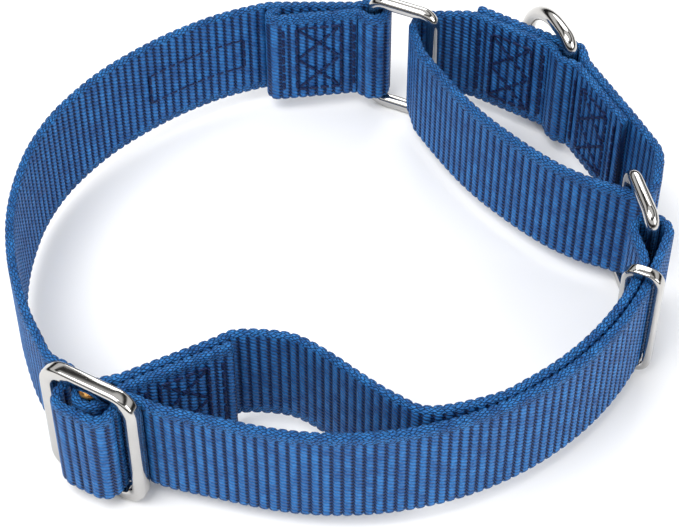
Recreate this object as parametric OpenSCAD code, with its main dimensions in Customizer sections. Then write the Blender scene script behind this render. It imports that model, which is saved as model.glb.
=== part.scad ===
// Martingale dog collar: an adjustable neck strap with a metal ring at each end,
// joined by a smaller control loop that carries the leash ring.
// Every strap stands on its edge. The plan of the collar is drawn in X and Y.

/* [Webbing] */
// Width of the webbing
strap_w = 19; // [15:0.5:25]
// Thickness of one layer of webbing
strap_t = 1.6; // [1.3:0.1:2]

/* [Collar plan] */
// Width of the open collar, left to right, along the neck strap
plan_w = 104; // [86:1:125]

/* [Rectangular rings] */
// Wire diameter of the two rectangular rings
ring_wire = 2.4; // [2:0.1:3]
// Distance between the two upright bars of a ring, centre to centre
ring_len = 11; // [9:0.5:14]

/* [Leash ring] */
// Wire diameter of the D-shaped leash ring
d_wire = 2.5; // [2:0.1:3.2]
// Reach of the leash ring from its straight bar to its crown, centre to centre
d_reach = 15.5; // [13:0.5:20]

/* [Slide adjuster] */
// Width of the frame's face
frame_face = 2.3; // [1.8:0.1:3]
// Thickness of the frame
frame_t = 2.5; // [2:0.1:3.2]
// Diameter of the centre bar
bar_d = 2.2; // [1.8:0.1:2.8]

/* [Keeper] */
// Width of the keeper's band, along the strap
keeper_w = 2; // [1.5:0.1:4]
// Thickness of the keeper's band
keeper_t = 1.3; // [1:0.1:2]

/* [Stitching] */
// Length of a stitched box, along the strap
box_len = 7.8; // [6:0.2:8.4]
// Height of a stitched box, across the strap
box_h = 14; // [11:0.5:14.5]
// Distance from a box to the single row beside it
row_gap = 2.3; // [1.5:0.1:2.6]
// Thread thickness
thread = 0.4; // [0.25:0.05:0.6]

/* [Hidden] */

// Clearances and steps
edge_gap = 0.4;      // between a strap edge and the metal above or below it
ply_gap = 0.1;       // between two sewn layers
wire_gap = 0.3;      // between a wire and the strap folded round it
flex_gap = 0.3;      // between two strap lengths that flex at a joint
bar_gap = 0.1;       // between the slide's centre bar and the strap round it
d_gap = 0.25;        // between the leash ring's bar and the strap round it
frame_gap = 0.55;    // between the slide's frame and the strap behind it
arc_step = 6;        // degrees between points on a bend
curve_spans = 4;     // spans between two points of a smooth curve
part_r = 1.5;        // corner where two sewn layers part
rows_margin = 1.8;   // from the last row of stitches to the layer's cut end
pitch = strap_t + ply_gap;

// Heights: the rings and the slide stand on the floor, and the straps hang in them
lift = max(ring_wire, d_wire, frame_face) + edge_gap;
mid_z = lift + strap_w / 2;
metal_h = 2 * mid_z;
keeper_h = strap_w + 2 * edge_gap + 2 * keeper_t;

// Plan scale: stations follow the collar's width, folds and hardware keep their size
k = plan_w / 104;
run_r = 52 * k;              // radius of the near run, about the plan's centre
pin_a = k * [6, 40.3];       // ring bar held by the sewn fold of the neck strap
pin_b = k * [48.4, -11.8];   // ring bar held by the bight of the outer strap
aim_a = -24.6;               // direction of ring A, from its held bar
aim_b = 101.5;               // direction of ring B, from its held bar
far_a = pin_a + ring_len * unit(aim_a);
far_b = pin_b + ring_len * unit(aim_b);
slide_at = k * [-36, -44.2];
slide_turn = -30;            // direction of the slide along the strap
end_turn = 27;               // direction of the sewn end, away from the centre bar
d_pin = k * [38.9, 29.2];
d_aim = 112;                 // direction of the leash ring
hinge_at = k * [-50.9, -13.8];
keeper_turn = -25.5;         // place of the keeper on the near run
turn_a = 148;                // direction of the first sewn stretch of the control loop
turn_b = 116;                // direction of the second

// --- plan geometry ---------------------------------------------------------
function unit(a) = [cos(a), sin(a)];
function aim(p, q) = atan2(q.y - p.y, q.x - p.x);
function left_of(v) = [-v.y, v.x];
function cross2(u, v) = u.x * v.y - u.y * v.x;
function steps(sweep) = max(1, ceil(abs(sweep) / arc_step));

// Points of an arc about c, from angle a0 to a1
function arc(c, r, a0, a1) =
    let (n = steps(a1 - a0))
    [for (i = [0:n]) c + r * unit(a0 + (a1 - a0) * i / n)];

// Points where a line from p runs round a bar at c and leaves for q.
// dir is 1 for a left-hand turn and -1 for a right-hand turn.
function wrap(p, q, c, r, dir) =
    let (a0 = aim(p, c) - dir * asin(r / norm(c - p)) - dir * 90,
         a1 = aim(q, c) + dir * asin(r / norm(c - q)) + 180 - dir * 90,
         turned = ((dir * (a1 - a0)) % 360 + 360) % 360)
    arc(c, r, a0, a0 + dir * turned);

// Points that round the corner b between a and c with radius r
function corner(a, b, c, r) =
    let (u = (a - b) / norm(a - b), w = (c - b) / norm(c - b),
         half = acos(u * w) / 2,
         back = min(r / tan(half), 0.48 * min(norm(a - b), norm(c - b))),
         rr = back * tan(half),
         centre = b + (u + w) / norm(u + w) * (rr / sin(half)),
         side = sign(cross2(b - a, c - b)),
         a0 = aim(centre, b + back * u))
    arc(centre, rr, a0, a0 + side * (180 - 2 * half));

// A route from vertices [x, y] or [x, y, corner radius]
function xy(v) = [v.x, v.y];
function route(v) =
    [for (i = [0:len(v) - 1])
        each (len(v[i]) == 3 && i > 0 && i < len(v) - 1)
            ? corner(xy(v[i - 1]), xy(v[i]), xy(v[i + 1]), v[i].z)
            : [xy(v[i])]];

// A smooth curve through hand-chosen points, with n spans between two of them
function blend_at(p0, p1, p2, p3, t) =
    0.5 * (2 * p1 + (p2 - p0) * t + (2 * p0 - 5 * p1 + 4 * p2 - p3) * t * t
           + (3 * p1 - p0 - 3 * p2 + p3) * t * t * t);
function curve(p, n = curve_spans) =
    let (m = len(p) - 1)
    [for (i = [0:m - 1], j = [0:n - 1])
        blend_at(i > 0 ? p[i - 1] : 2 * p[0] - p[1], p[i], p[i + 1],
                 i < m - 1 ? p[i + 2] : 2 * p[m] - p[m - 1], j / n),
     p[m]];

// Drops a point that repeats the one before it
function clean(p) =
    [for (i = [0:len(p) - 1]) if (i == 0 || norm(p[i] - p[i - 1]) > 0.02) p[i]];

// Outline of a strap of thickness strap_t whose middle follows a path.
// before and after are the neighbouring points of a longer strap, so that two
// lengths of one strap share their cut.
function mitre(a, b, c) =
    let (u = (b - a) / norm(b - a), w = (c - b) / norm(c - b),
         m = left_of(u + w) / norm(u + w))
    m / (m * left_of(u));
function ribbon(path, before = undef, after = undef) =
    let (n = len(path) - 1,
         first = is_undef(before) ? 2 * path[0] - path[1] : before,
         last = is_undef(after) ? 2 * path[n] - path[n - 1] : after,
         m = [for (i = [0:n]) mitre(i > 0 ? path[i - 1] : first, path[i],
                                    i < n ? path[i + 1] : last)])
    concat([for (i = [0:n]) path[i] + m[i] * strap_t / 2],
           [for (i = [n:-1:0]) path[i] - m[i] * strap_t / 2]);

// --- the strap's places at the slide, along it (s) and out of it (h) ---------
bar_bend = bar_d / 2 + bar_gap + strap_t / 2;
wave_room = strap_t / 2;     // lets the sewn end's two layers lean away from the bar
wave_in_r = part_r;          // corners of the wave behind the frame
wave_out_r = 3.8;            // corners of the wave in front of it
wave_half = bar_bend + strap_t + wave_room;
wave_h = bar_bend + strap_t + wire_gap;
under_h = -(frame_t / 2 + frame_gap + strap_t / 2);
window_gap = 1;              // between the wave's sides and the frame's uprights
window_half = wave_half + strap_t / 2 + window_gap;
function slide_point(s, h) =
    slide_at + s * unit(slide_turn) - h * left_of(unit(slide_turn));

// --- the neck strap, from its hemmed end to the slide ----------------------
ring_bend = ring_wire / 2 + wire_gap + strap_t / 2;
back_y = pin_a.y + 1.1;      // outer layer of the fold
front_y = back_y - pitch;    // inner layer, sewn to it
pocket = 0.5;                // from the ring's bend to where the layers part
fold_x = pin_a.x - ring_bend - pocket;
fold_r = 1.1;                // corner of the inner layer where they part
fold_margin = 0.7;           // from there to the first row of stitches
sewn_len = box_len + 2 * row_gap;
sewn_x = fold_x - fold_margin - sewn_len / 2;
hem_pitch = pitch + 0.1;
hem_y = front_y - hem_pitch; // inner layer where the end is tucked under
hem_x = sewn_x - sewn_len / 2 - 0.5; // from here to the fold it leans on the other
hem_end_x = hem_x - 0.8;
tuck = 1;                    // length of the end tucked under
ring_fold = wrap([fold_x, front_y], [fold_x, back_y], pin_a, ring_bend, 1);
fold_path = clean(concat(
    [[hem_end_x + tuck, front_y], [hem_end_x, front_y]],
    arc([hem_end_x, front_y - hem_pitch / 2], hem_pitch / 2, 90, 270),
    route([[hem_end_x, hem_y], [hem_x, hem_y, part_r], [fold_x, front_y, fold_r],
           ring_fold[0]]),
    ring_fold,
    [[fold_x, back_y], [hem_end_x, back_y]]));
front_turn = aim([hem_x, hem_y], [fold_x, front_y]);
left_run = [for (p = [[-20.5, 38.3], [-27.3, 34.4], [-33.3, 29.9], [-39.2, 24.4],
                      [-43.7, 18.7], [-47.2, 12.8], [-49.8, 5.8], [-51.1, -1.6],
                      [-51.4, -8]])
            k * p];
near_left = [for (p = [[-49.9, -19.2], [-48.4, -24.4], [-46.6, -29.4]]) k * p];
neck_curve = curve(concat([[hem_end_x, back_y], [hem_end_x - 2.2, back_y - 0.4]],
                          left_run, [hinge_at], near_left,
                          [slide_point(-12.5, under_h) + [1, 2]]));
hinge_i = curve_spans * (len(left_run) + 2);

// --- the strap through the slide --------------------------------------------
wave = [concat(slide_point(-wave_half, under_h), [wave_in_r]),
        concat(slide_point(-wave_half, wave_h), [wave_out_r]),
        slide_point(0, wave_h),
        concat(slide_point(wave_half, wave_h), [wave_out_r]),
        concat(slide_point(wave_half, under_h), [wave_in_r])];
run_start = -105;            // the near run is a true arc from here to the keeper
run_end = -21;               // and its outer layer leaves for ring B here
run_cut = -84;               // places where the strip is cut into its bodies' lengths
slack_cut = -31;
slack_free = -56;            // the inner layer leaves the outer one here
meet_r = 25;                 // corner where the slide's line meets the near run
// where the slide's line meets the near run's tangent
run_tangent = left_of(unit(run_start));
meet = let (o = slide_point(0, under_h), d = unit(slide_turn),
            s = cross2(run_r * unit(run_start) - o, run_tangent) / cross2(d, run_tangent))
       o + s * d;
entry_path = clean(concat(
    [for (i = [hinge_i:len(neck_curve) - 1]) neck_curve[i]],
    route([neck_curve[len(neck_curve) - 1], concat(slide_point(-9.5, under_h), [5]),
           wave[0], wave[1], wave[2]])));
exit_path = clean(concat(
    route([wave[2], wave[3], wave[4], concat(meet, [meet_r]), run_r * unit(run_start)]),
    arc([0, 0], run_r, run_start, run_cut)));

// --- the outer strap and its bight round ring B -----------------------------
inner_r = run_r - pitch - 0.1;
bight_gap = 0.75;            // between ring B's wire and the bight round it
bight_r = ring_wire / 2 + strap_t / 2 + bight_gap;
inner_start = run_end - 3;   // the inner layer is a true arc from here
bight_in = run_r * unit(run_end);
bight_out = inner_r * unit(run_end);
bight = wrap(bight_in, bight_out, pin_b, bight_r, 1);
outer_path = clean(concat(
    arc([0, 0], run_r, run_cut, run_end), bight,
    route([bight[len(bight) - 1], concat(bight_out, [4]), inner_r * unit(inner_start)]),
    arc([0, 0], inner_r, inner_start, slack_cut)));

// --- the slack of the inner layer, and its end sewn round the slide's bar ----
end_dir = unit(end_turn);
end_left = left_of(end_dir);
function end_point(s, side) = slide_at + s * end_dir + side * pitch / 2 * end_left;
end_start = 5.2;             // where the two layers meet beside the bar
end_row = end_start + 2.6;   // first row of stitches
end_stop = end_row + sewn_len + rows_margin + 0.2;
end_cut = end_stop - 1.5;    // the slack ends and the sewn end begins here
slack_points = [for (p = [[-11.5, -32.7], [-6.5, -33.7], [-1.5, -37.1],
                          [3, -41], [8, -44.8], [13.2, -47.1]]) k * p];
slack_curve = curve(concat([inner_r * unit(slack_free), inner_r * unit(slack_free - 7)],
                           [for (i = [len(slack_points) - 1:-1:0]) slack_points[i]],
                           [end_point(end_stop + 1, 1) + 0.1 * end_left,
                            end_point(end_cut, 1)]));
slack_path = clean(concat(arc([0, 0], inner_r, slack_cut, slack_free), slack_curve));
end_path = clean(concat(
    [end_point(end_cut, 1), end_point(end_start, 1)],
    wrap(end_point(end_start, 1), end_point(end_start, -1), slide_at, bar_bend, 1),
    [end_point(end_start, -1), end_point(end_stop, -1)]));

// --- the control loop: one strap, its two ends sewn over the leash ring's bar -
d_bend = d_wire / 2 + d_gap + strap_t / 2;
dir_a = unit(turn_a);
dir_b = unit(turn_b);
out_a = -left_of(dir_a);
out_b = -left_of(dir_b);
in_a = d_pin + [-2.7, 1.7];
in_b = d_pin + [1, -3];
over_a = in_a + pitch * out_a;
over_b = in_b + pitch * out_b;
row_start = 1.2;             // from the leash ring's pocket to the first row
lap = row_start + sewn_len + rows_margin;
lap_r = 5;                   // corner beside the lap's cut end
loop_a = far_a + [0.198, -0.321]; // the bend round ring A, about its free bar
loop_b = far_b + [0.693, 0.821];  // the bend round ring B
loop_r = 3.6;
loop_corner = k * [51.7, 5.4]; // where it turns along the outside to the second lap
loop_corner_r = 7;
front = [for (p = [[13.7, 29.5], [16.5, 24.3], [20.1, 18.2], [23.7, 13.2],
                   [27.7, 8.7], [31.6, 4.8], [35.4, 1.6], [39.5, -1]]) k * p];
lap_a = in_a + lap * dir_a;
bend_a = wrap(lap_a, front[0], loop_a, loop_r, 1);
bend_b = wrap(front[len(front) - 1], loop_corner, loop_b, loop_r, 1);
round_in = wrap(in_b, in_a, d_pin, d_bend, -1);
round_out = wrap(over_b, over_a, d_pin, d_bend, 1);
control_path = clean(concat(
    route([in_b - lap * dir_b, concat(in_b, [part_r]), round_in[0]]),
    round_in,
    route([round_in[len(round_in) - 1], concat(in_a, [part_r]), concat(lap_a, [lap_r]),
           bend_a[0]]),
    bend_a, curve(front), bend_b,
    route([bend_b[len(bend_b) - 1], concat(loop_corner, [loop_corner_r]),
           over_b - lap * dir_b, concat(over_b, [part_r]), round_out[0]]),
    round_out,
    route([round_out[len(round_out) - 1], concat(over_a, [part_r]), over_a + lap * dir_a])));

// --- the collar is centred over its own footprint ---------------------------
crown = d_pin + (d_reach + d_wire / 2) * unit(d_aim);
plan = concat(ribbon(entry_path), ribbon(neck_curve), ribbon(outer_path),
              ribbon(exit_path), ribbon(control_path));
low = [min([for (p = plan) p.x]), min([for (p = plan) p.y])];
high = [max([for (p = plan) p.x]), max(crown.y, max([for (p = plan) p.y]))];
middle = (low + high) / 2;
module placed() { translate([-middle.x, -middle.y, 0]) children(); }

// --- parts ------------------------------------------------------------------
cloth = "steelblue";
metal = "silver";
wire_bend = 2.2;             // bend in a ring's wire, at the middle of the wire
frame_bend = 2.4;            // the same for the slide's frame
frame_edge = 0.7;            // rounded edges of the frame's section
keeper_bend = 1.3;
keeper_edge = 0.4;

module webbing(outline) {
    color(cloth) placed() translate([0, 0, lift]) linear_extrude(strap_w) polygon(outline);
}

// A closed ring of constant section, standing in its own X-Z plane.
// The 2D child is the section: X across the wire in the ring's plane, Y through it.
module bent_ring(cc_len, cc_h, bend) {
    flat_x = cc_len - 2 * bend;
    flat_z = cc_h - 2 * bend;
    for (side = [-1, 1]) {
        translate([side * cc_len / 2, 0, 0])
            linear_extrude(flat_z, center = true) children();
        translate([0, 0, side * cc_h / 2]) rotate([0, 90, 0])
            linear_extrude(flat_x, center = true) children();
    }
    for (quarter = [0:3]) {
        sx = (quarter == 0 || quarter == 3) ? 1 : -1;
        sz = quarter < 2 ? 1 : -1;
        translate([sx * flat_x / 2, 0, sz * flat_z / 2]) rotate([90, 0, 0])
            rotate([0, 0, 90 * quarter]) rotate_extrude(angle = 90, $fn = 64)
                translate([bend, 0]) children();
    }
}

// A rectangle with round corners, as a section
module rounded_section(w, h, r) {
    square([w - 2 * r, h], center = true);
    square([w, h - 2 * r], center = true);
    for (x = [-1, 1], y = [-1, 1])
        translate([x * (w / 2 - r), y * (h / 2 - r)]) circle(r, $fn = 24);
}

module upright(at, turn) {
    placed() translate([at.x, at.y, mid_z]) rotate([0, 0, turn]) children();
}

module rectangular_ring(at, turn) {
    color(metal) upright(at, turn) translate([ring_len / 2, 0, 0])
        bent_ring(ring_len, metal_h - ring_wire, wire_bend) circle(d = ring_wire, $fn = 32);
}

// One row of stitches, a thread that lies on the face y = 0 from a to b
module thread_row(a, b) {
    translate([a.x, 0, a.y]) rotate([0, 90 - aim(a, b), 0]) translate([-thread / 2, 0, 0])
        cube([thread, thread, norm(b - a)]);
}

// A sewn box with two crosses in it and a single row on each side
module box_rows() {
    w = box_len / 2;
    h = box_h / 2;
    inset = thread;
    for (side = [-1, 1]) {
        thread_row([side * w, -h], [side * w, h]);
        thread_row([side * (w + row_gap), -h], [side * (w + row_gap), h]);
        thread_row([-w, side * h], [w, side * h]);
        thread_row([-side * (w - inset), -h + inset], [side * (w - inset), 0]);
        thread_row([-side * (w - inset), 0], [side * (w - inset), h - inset]);
    }
}

// The rows on one face of a sewn stretch: the middle of that layer is at, it runs
// in direction turn, and side is 1 for its left-hand face and -1 for the other
module sewn_rows(at, turn, side) {
    color("midnightblue") upright(at, turn) mirror([0, side > 0 ? 0 : 1, 0])
        translate([0, strap_t / 2, 0]) box_rows();
}

module neck_strap() {
    neck_part = [for (i = [0:hinge_i - 1]) neck_curve[i]];
    joint = neck_curve[hinge_i];
    last = neck_curve[hinge_i - 1];
    stop = joint + (last - joint) / norm(last - joint) * flex_gap;
    webbing(ribbon(clean(concat(fold_path, neck_part, [stop])), after = joint));
}

module slide_entry_strap() {
    webbing(ribbon(entry_path, after = exit_path[1]));
}

module slide_exit_strap() {
    webbing(ribbon(exit_path, before = entry_path[len(entry_path) - 2],
                   after = outer_path[1]));
}

module outer_strap() {
    webbing(ribbon(outer_path, before = exit_path[len(exit_path) - 2],
                   after = slack_path[1]));
}

module slack_strap() {
    webbing(ribbon(slack_path, before = outer_path[len(outer_path) - 2],
                   after = end_path[1]));
}

module sewn_slide_end() {
    webbing(ribbon(end_path, before = slack_path[len(slack_path) - 2]));
}

module control_strap() {
    webbing(ribbon(control_path));
}

module ring_end_stitching() {
    sewn_rows([sewn_x, back_y], 0, 1);
    sewn_rows([sewn_x, hem_y + (sewn_x - hem_x) * tan(front_turn)], front_turn, -1);
}

module slide_end_stitching() {
    for (side = [-1, 1])
        sewn_rows(end_point(end_row + sewn_len / 2, side), end_turn, side);
}

module control_stitching_a() {
    at = in_a + (row_start + sewn_len / 2) * dir_a;
    sewn_rows(at, turn_a, 1);
    sewn_rows(at + pitch * out_a, turn_a, -1);
}

module control_stitching_b() {
    at = in_b - (row_start + sewn_len / 2) * dir_b;
    sewn_rows(at, turn_b, 1);
    sewn_rows(at + pitch * out_b, turn_b, -1);
}

module ring_a() { rectangular_ring(pin_a, aim_a); }
module ring_b() { rectangular_ring(pin_b, aim_b); }

// The leash ring: a straight bar, two short rails and a half-round crown
module d_ring() {
    bend = wire_bend;
    crown_r = (metal_h - d_wire) / 2;
    rail = d_reach - crown_r;
    color(metal) upright(d_pin, d_aim) {
        linear_extrude(2 * (crown_r - bend), center = true) circle(d = d_wire, $fn = 32);
        for (side = [-1, 1]) {
            translate([bend, 0, side * (crown_r - bend)])
                rotate([90, 0, 0]) rotate([0, 0, side > 0 ? 90 : 180])
                    rotate_extrude(angle = 90, $fn = 64)
                        translate([bend, 0]) circle(d = d_wire, $fn = 32);
            translate([bend, 0, side * crown_r]) rotate([0, 90, 0])
                linear_extrude(rail - bend) circle(d = d_wire, $fn = 32);
        }
        translate([rail, 0, 0]) rotate([90, 0, 0]) rotate([0, 0, -90])
            rotate_extrude(angle = 180, $fn = 96)
                translate([crown_r, 0]) circle(d = d_wire, $fn = 32);
    }
}

// The slide's frame, drilled from inside for the centre bar's two ends
seat = 1.2;                  // depth of the bar's seat in the frame
window_h = metal_h - 2 * frame_face;
module slide_frame() {
    color(metal) upright(slide_at, slide_turn) difference() {
        bent_ring(2 * window_half + frame_face, metal_h - frame_face, frame_bend)
            rounded_section(frame_face, frame_t, frame_edge);
        cylinder(h = window_h + 2 * seat + 0.1, d = bar_d + 0.1, center = true, $fn = 32);
    }
}

module slide_centre_bar() {
    color(metal) upright(slide_at, slide_turn)
        cylinder(h = window_h + 2 * seat, d = bar_d, center = true, $fn = 32);
}

// Braze left round each end of the centre bar, against the frame
module bar_braze_rings() {
    braze = edge_gap - 0.1;
    color("goldenrod") upright(slide_at, slide_turn)
        for (side = [-1, 1]) translate([0, 0, side * (window_h - braze) / 2])
            difference() {
                cylinder(h = braze, d = bar_d + 0.9, center = true, $fn = 32);
                cylinder(h = 1, d = bar_d + 0.04, center = true, $fn = 32);
            }
}

// The keeper: a narrow loop round both layers of the near run
module keeper() {
    layers = strap_t + (run_r - inner_r);
    at = (run_r + inner_r) / 2 * unit(keeper_turn);
    color(metal) upright(at, keeper_turn)
        bent_ring(layers + 2 * wire_gap + keeper_t, keeper_h - keeper_t, keeper_bend)
            rounded_section(keeper_t, keeper_w, keeper_edge);
}

// A blank woven label on the outside of the neck strap, and the stitches that hold
// it, which show on the inside
label_h = 7.4;
label_t = 0.5;
label_start = 6;             // the curve's points behind the label's two ends
label_stop = 16;
label_inset = 0.6;           // from the label's edge to its stitches

// The band from h0 to h1 off the strap's left-hand (1) or right-hand (-1) face
module label_band(side, h0, h1) {
    span = [for (i = [label_start:label_stop]) neck_curve[i]];
    n = len(span) - 1;
    off = [for (i = [0:n]) side * mitre(neck_curve[label_start + i - 1], span[i],
                                        neck_curve[label_start + i + 1])];
    polygon(concat([for (i = [0:n]) span[i] + off[i] * (strap_t / 2 + h0)],
                   [for (i = [n:-1:0]) span[i] + off[i] * (strap_t / 2 + h1)]));
}

module label() {
    color("navy") placed() translate([0, 0, mid_z - label_h / 2])
        linear_extrude(label_h) label_band(-1, 0, label_t);
}

module label_stitching() {
    reach = label_h / 2 - label_inset;
    color("midnightblue") {
        for (side = [-1, 1])
            placed() translate([0, 0, mid_z + side * reach - thread / 2])
                linear_extrude(thread) label_band(1, 0, thread);
        for (end = [[label_start, 0.4], [label_stop - 1, -0.4]]) {
            from = neck_curve[end.x];
            to = neck_curve[end.x + 1];
            upright(end.y > 0 ? from : to, aim(from, to))
                translate([end.y, strap_t / 2, 0])
                    thread_row([0, thread - reach], [0, reach - thread]);
        }
    }
}

neck_strap();
ring_end_stitching();
label();
label_stitching();
slide_entry_strap();
slide_exit_strap();
outer_strap();
slack_strap();
sewn_slide_end();
slide_end_stitching();
slide_frame();
slide_centre_bar();
bar_braze_rings();
keeper();
ring_a();
ring_b();
control_strap();
control_stitching_a();
control_stitching_b();
d_ring();
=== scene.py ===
# %% [markdown]
# A martingale collar, standing open on its edge
#
# This lesson dresses a measured model in webbing, thread and metal. The model
# comes in as a fixed frame. Each piece below is made at its real size, in metres,
# right where its plain solid stands, and then rides on the same moving body.

# %% Load the frame and keep its box
import math

import bmesh
import bpy
from mathutils import Matrix, Vector
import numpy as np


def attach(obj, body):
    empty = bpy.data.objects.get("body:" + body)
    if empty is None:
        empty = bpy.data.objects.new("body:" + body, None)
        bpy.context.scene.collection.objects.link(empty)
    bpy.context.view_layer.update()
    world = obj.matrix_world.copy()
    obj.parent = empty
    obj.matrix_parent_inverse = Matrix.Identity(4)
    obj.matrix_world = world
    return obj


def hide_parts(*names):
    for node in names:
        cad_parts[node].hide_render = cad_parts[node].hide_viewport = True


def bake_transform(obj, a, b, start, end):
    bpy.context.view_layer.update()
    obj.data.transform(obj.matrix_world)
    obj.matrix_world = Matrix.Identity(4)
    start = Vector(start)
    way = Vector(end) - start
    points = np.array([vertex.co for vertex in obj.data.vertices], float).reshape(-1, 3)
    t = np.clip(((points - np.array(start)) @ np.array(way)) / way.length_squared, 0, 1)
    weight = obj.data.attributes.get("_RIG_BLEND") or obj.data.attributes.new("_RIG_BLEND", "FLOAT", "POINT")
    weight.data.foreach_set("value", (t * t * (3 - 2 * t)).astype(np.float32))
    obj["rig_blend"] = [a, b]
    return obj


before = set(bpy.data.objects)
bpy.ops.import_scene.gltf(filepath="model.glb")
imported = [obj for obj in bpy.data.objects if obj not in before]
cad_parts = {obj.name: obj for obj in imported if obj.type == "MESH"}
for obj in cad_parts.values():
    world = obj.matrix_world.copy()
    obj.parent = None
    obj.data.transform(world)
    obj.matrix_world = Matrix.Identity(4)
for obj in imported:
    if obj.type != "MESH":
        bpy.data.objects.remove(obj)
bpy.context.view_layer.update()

# %% [markdown]
# The camera and the light come first, so that every later step can be judged in
# them. A long lens a third of a metre away looks down at 48 degrees, so the far
# side of the collar comes out only about a fifth smaller than the near side.

# %% Camera
MM = 0.001
focus = Vector((0.0, 4.03, 0.0)) * MM     # the centre of the near run, on the floor
distance, height_angle = 334 * MM, math.radians(48)
camera_data = bpy.data.cameras.new("camera")
camera_data.lens, camera_data.sensor_width = 106.04, 36
camera_data.clip_start, camera_data.clip_end = 0.01, 20
camera = bpy.data.objects.new("camera", camera_data)
bpy.context.scene.collection.objects.link(camera)
camera.location = focus + distance * Vector((0, -math.cos(height_angle), math.sin(height_angle)))
camera.rotation_euler = (focus - camera.location).to_track_quat("-Z", "Y").to_euler()
bpy.context.scene.camera = camera
bpy.context.scene.view_settings.view_transform = "Standard"
print("camera", tuple(round(c, 3) for c in camera.location))


# %% [markdown]
# One helper adds a node with its settings and links, and one turns a written
# colour, such as "#1F5A9E", into the linear numbers that shaders use.

# %% Helpers for materials
def linear(code):
    """A colour written as #RRGGBB, in the linear values a shader takes."""
    parts = [int(code[i:i + 2], 16) / 255 for i in (1, 3, 5)]
    return [c / 12.92 if c <= 0.04045 else ((c + 0.055) / 1.055) ** 2.4 for c in parts] + [1]


def add(tree, kind, links=None, values=None, **settings):
    """A new node with its settings, its input values and its input links."""
    node = tree.nodes.new(kind)
    for key, value in settings.items():
        setattr(node, key, value)
    for key, value in (values or {}).items():
        node.inputs[key].default_value = value
    for key, source in (links or {}).items():
        tree.links.new(source, node.inputs[key])
    return node


def new_material(name):
    """An empty material with its output, ready for a shader."""
    material = bpy.data.materials.new(name)
    material.use_nodes = True
    material.node_tree.nodes.clear()
    return material, material.node_tree, material.node_tree.nodes.new("ShaderNodeOutputMaterial")


# %% [markdown]
# The room is a white floor under a big soft light. Polished metal shows what is
# round it, so the sky that only reflections see has dark bands, as black cards
# stood beside a shiny object give it.

# %% Sky
# What lights the collar is even. Reflections see bands: a height, and how bright it is.
HORIZON, DARK_CARD, EVEN_SKY = (0.9, 0.9, 0.9, 1), (0.02, 0.02, 0.025, 1), (0.93, 0.93, 0.93, 1)
BANDS = ((0.30, 0.03), (0.38, 1.1), (0.62, 1.3), (0.70, 0.06), (0.80, 0.05), (0.88, 1.2))
SKY_STRENGTH = 0.72
world = bpy.data.worlds.new("sky")
bpy.context.scene.world = world
world.use_nodes = True
sky = world.node_tree
sky.nodes.clear()
place = add(sky, "ShaderNodeTexCoord")
axes = add(sky, "ShaderNodeSeparateXYZ", {0: place.outputs["Generated"]})
bands = add(sky, "ShaderNodeValToRGB", {0: axes.outputs["Z"]})
stops = bands.color_ramp.elements
stops[0].position, stops[0].color = 0.02, HORIZON
stops[1].position, stops[1].color = 0.10, DARK_CARD
for height, grey in BANDS:
    stops.new(height).color = (grey, grey, grey, 1)
path_kind = add(sky, "ShaderNodeLightPath")
seen = add(sky, "ShaderNodeMix", {"Factor": path_kind.outputs["Is Glossy Ray"],
                                  "B": bands.outputs["Color"]}, data_type="RGBA")
seen.inputs["A"].default_value = EVEN_SKY
sky_light = add(sky, "ShaderNodeBackground", {"Color": seen.outputs["Result"]}, {"Strength": SKY_STRENGTH})
add(sky, "ShaderNodeOutputWorld", {"Surface": sky_light.outputs[0]})
print("sky", len(sky.nodes), "nodes")


# %% Lamps
def soft_lamp(name, place, size, power):
    """A square lamp that points at the collar: its place and size in metres, its power in watts."""
    data = bpy.data.lights.new(name, "AREA")
    data.size, data.energy = size, power
    lamp = bpy.data.objects.new(name, data)
    bpy.context.scene.collection.objects.link(lamp)
    lamp.location = place
    lamp.rotation_euler = (focus - lamp.location).to_track_quat("-Z", "Y").to_euler()


soft_lamp("key_lamp", Vector((-0.25, -0.20, 0.60)), 0.45, 3.7)
soft_lamp("side_lamp", Vector((0.50, -0.35, 0.35)), 0.35, 1.6)
soft_lamp("back_lamp", Vector((0.10, 0.55, 0.45)), 0.35, 1.5)

# %% Floor
bpy.ops.object.select_all(action="DESELECT")
bpy.ops.mesh.primitive_plane_add(size=6, location=(0, 0, 0))
floor = bpy.context.object
floor.name = "floor"
# White board: pale and without shine, so that only soft shadows show on it.
material, tree, output = new_material("white_board")
board = add(tree, "ShaderNodeBsdfPrincipled", values={"Base Color": linear("#F7F7F7"), "Roughness": 0.9})
tree.links.new(board.outputs[0], output.inputs["Surface"])
floor.data.materials.append(material)
print("floor", tuple(round(c, 2) for c in floor.dimensions))
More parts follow.
